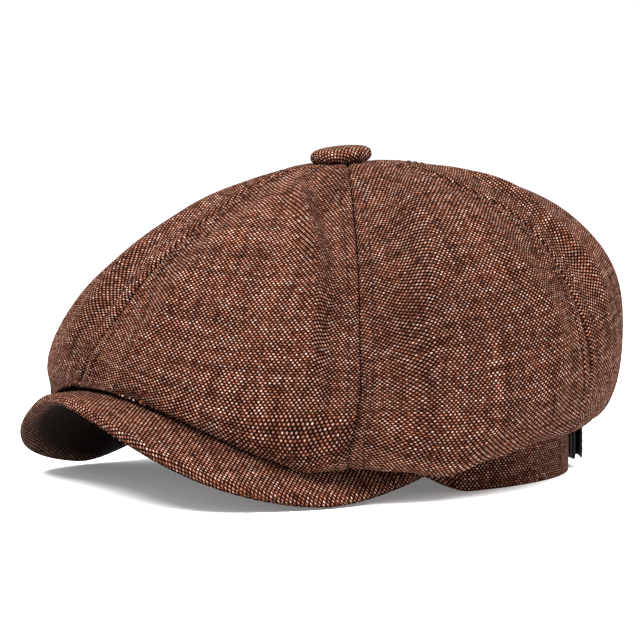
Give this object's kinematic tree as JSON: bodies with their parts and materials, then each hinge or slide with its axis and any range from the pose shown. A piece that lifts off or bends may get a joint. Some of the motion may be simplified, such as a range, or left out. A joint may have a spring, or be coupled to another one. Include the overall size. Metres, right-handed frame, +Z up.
{
  "type": "newsboy cap",
  "caption": "Full gored newsboy cap in a coarse brown weave, with a covered button, stiff arched visor, head band and rear adjuster strap.",
  "frame": {"origin": "centre of the footprint box on the surface that the cap rests on", "axes": "+Z up; -Y the way the visor points; +X the wearer's left"},
  "size_m": [0.243, 0.2896, 0.152],
  "materials": {
    "woven_cloth": "coarse two-tone plain weave",
    "lining": "satin",
    "sweatband": "matt twill",
    "stiffener": "matt",
    "padding": "foam",
    "webbing": "matt woven tape",
    "hardware": "black enamel",
    "button_metal": "tinned",
    "label": "satin tape"
  },
  "bodies": {
    "cap": {"crown_panel_1": "woven_cloth", "crown_panel_2": "woven_cloth", "crown_panel_3": "woven_cloth", "crown_panel_4": "woven_cloth", "crown_panel_5": "woven_cloth", "crown_panel_6": "woven_cloth", "band_left": "woven_cloth", "band_right": "woven_cloth", "button_cover": "woven_cloth", "lining_panel_1": "lining", "lining_panel_2": "lining", "lining_panel_3": "lining", "lining_panel_4": "lining", "lining_panel_5": "lining", "lining_panel_6": "lining", "apex_patch": "lining", "sweatband": "sweatband", "band_interlining_left": "stiffener", "band_interlining_right": "stiffener", "adjuster_strap": "webbing", "strap_tab": "webbing", "strap_end_left": "webbing", "strap_end_right": "webbing", "back_elastic": "webbing", "strap_loop": "hardware", "button_shell": "button_metal", "button_back": "button_metal", "button_washer": "button_metal", "care_label": "label"},
    "visor": {"visor_board": "stiffener", "visor_foam": "padding", "visor_top_cover": "woven_cloth", "visor_under_cover": "woven_cloth"},
    "slide": {"strap_slider": "hardware"}
  },
  "joints": [
    {"name": "visor_flex", "type": "hinge", "parent": "cap", "child": "visor", "pos_m": [0, -0.02138, 0.015], "axis": [1, 0, 0], "range_deg": [-1, 6], "stiffness_Nm_per_rad": 4},
    {"name": "slide_travel", "type": "hinge", "parent": "cap", "child": "slide", "pos_m": [0, 0.06262, 0.014], "axis": [0, 0, 1], "range_deg": [-10, 10]}
  ]
}
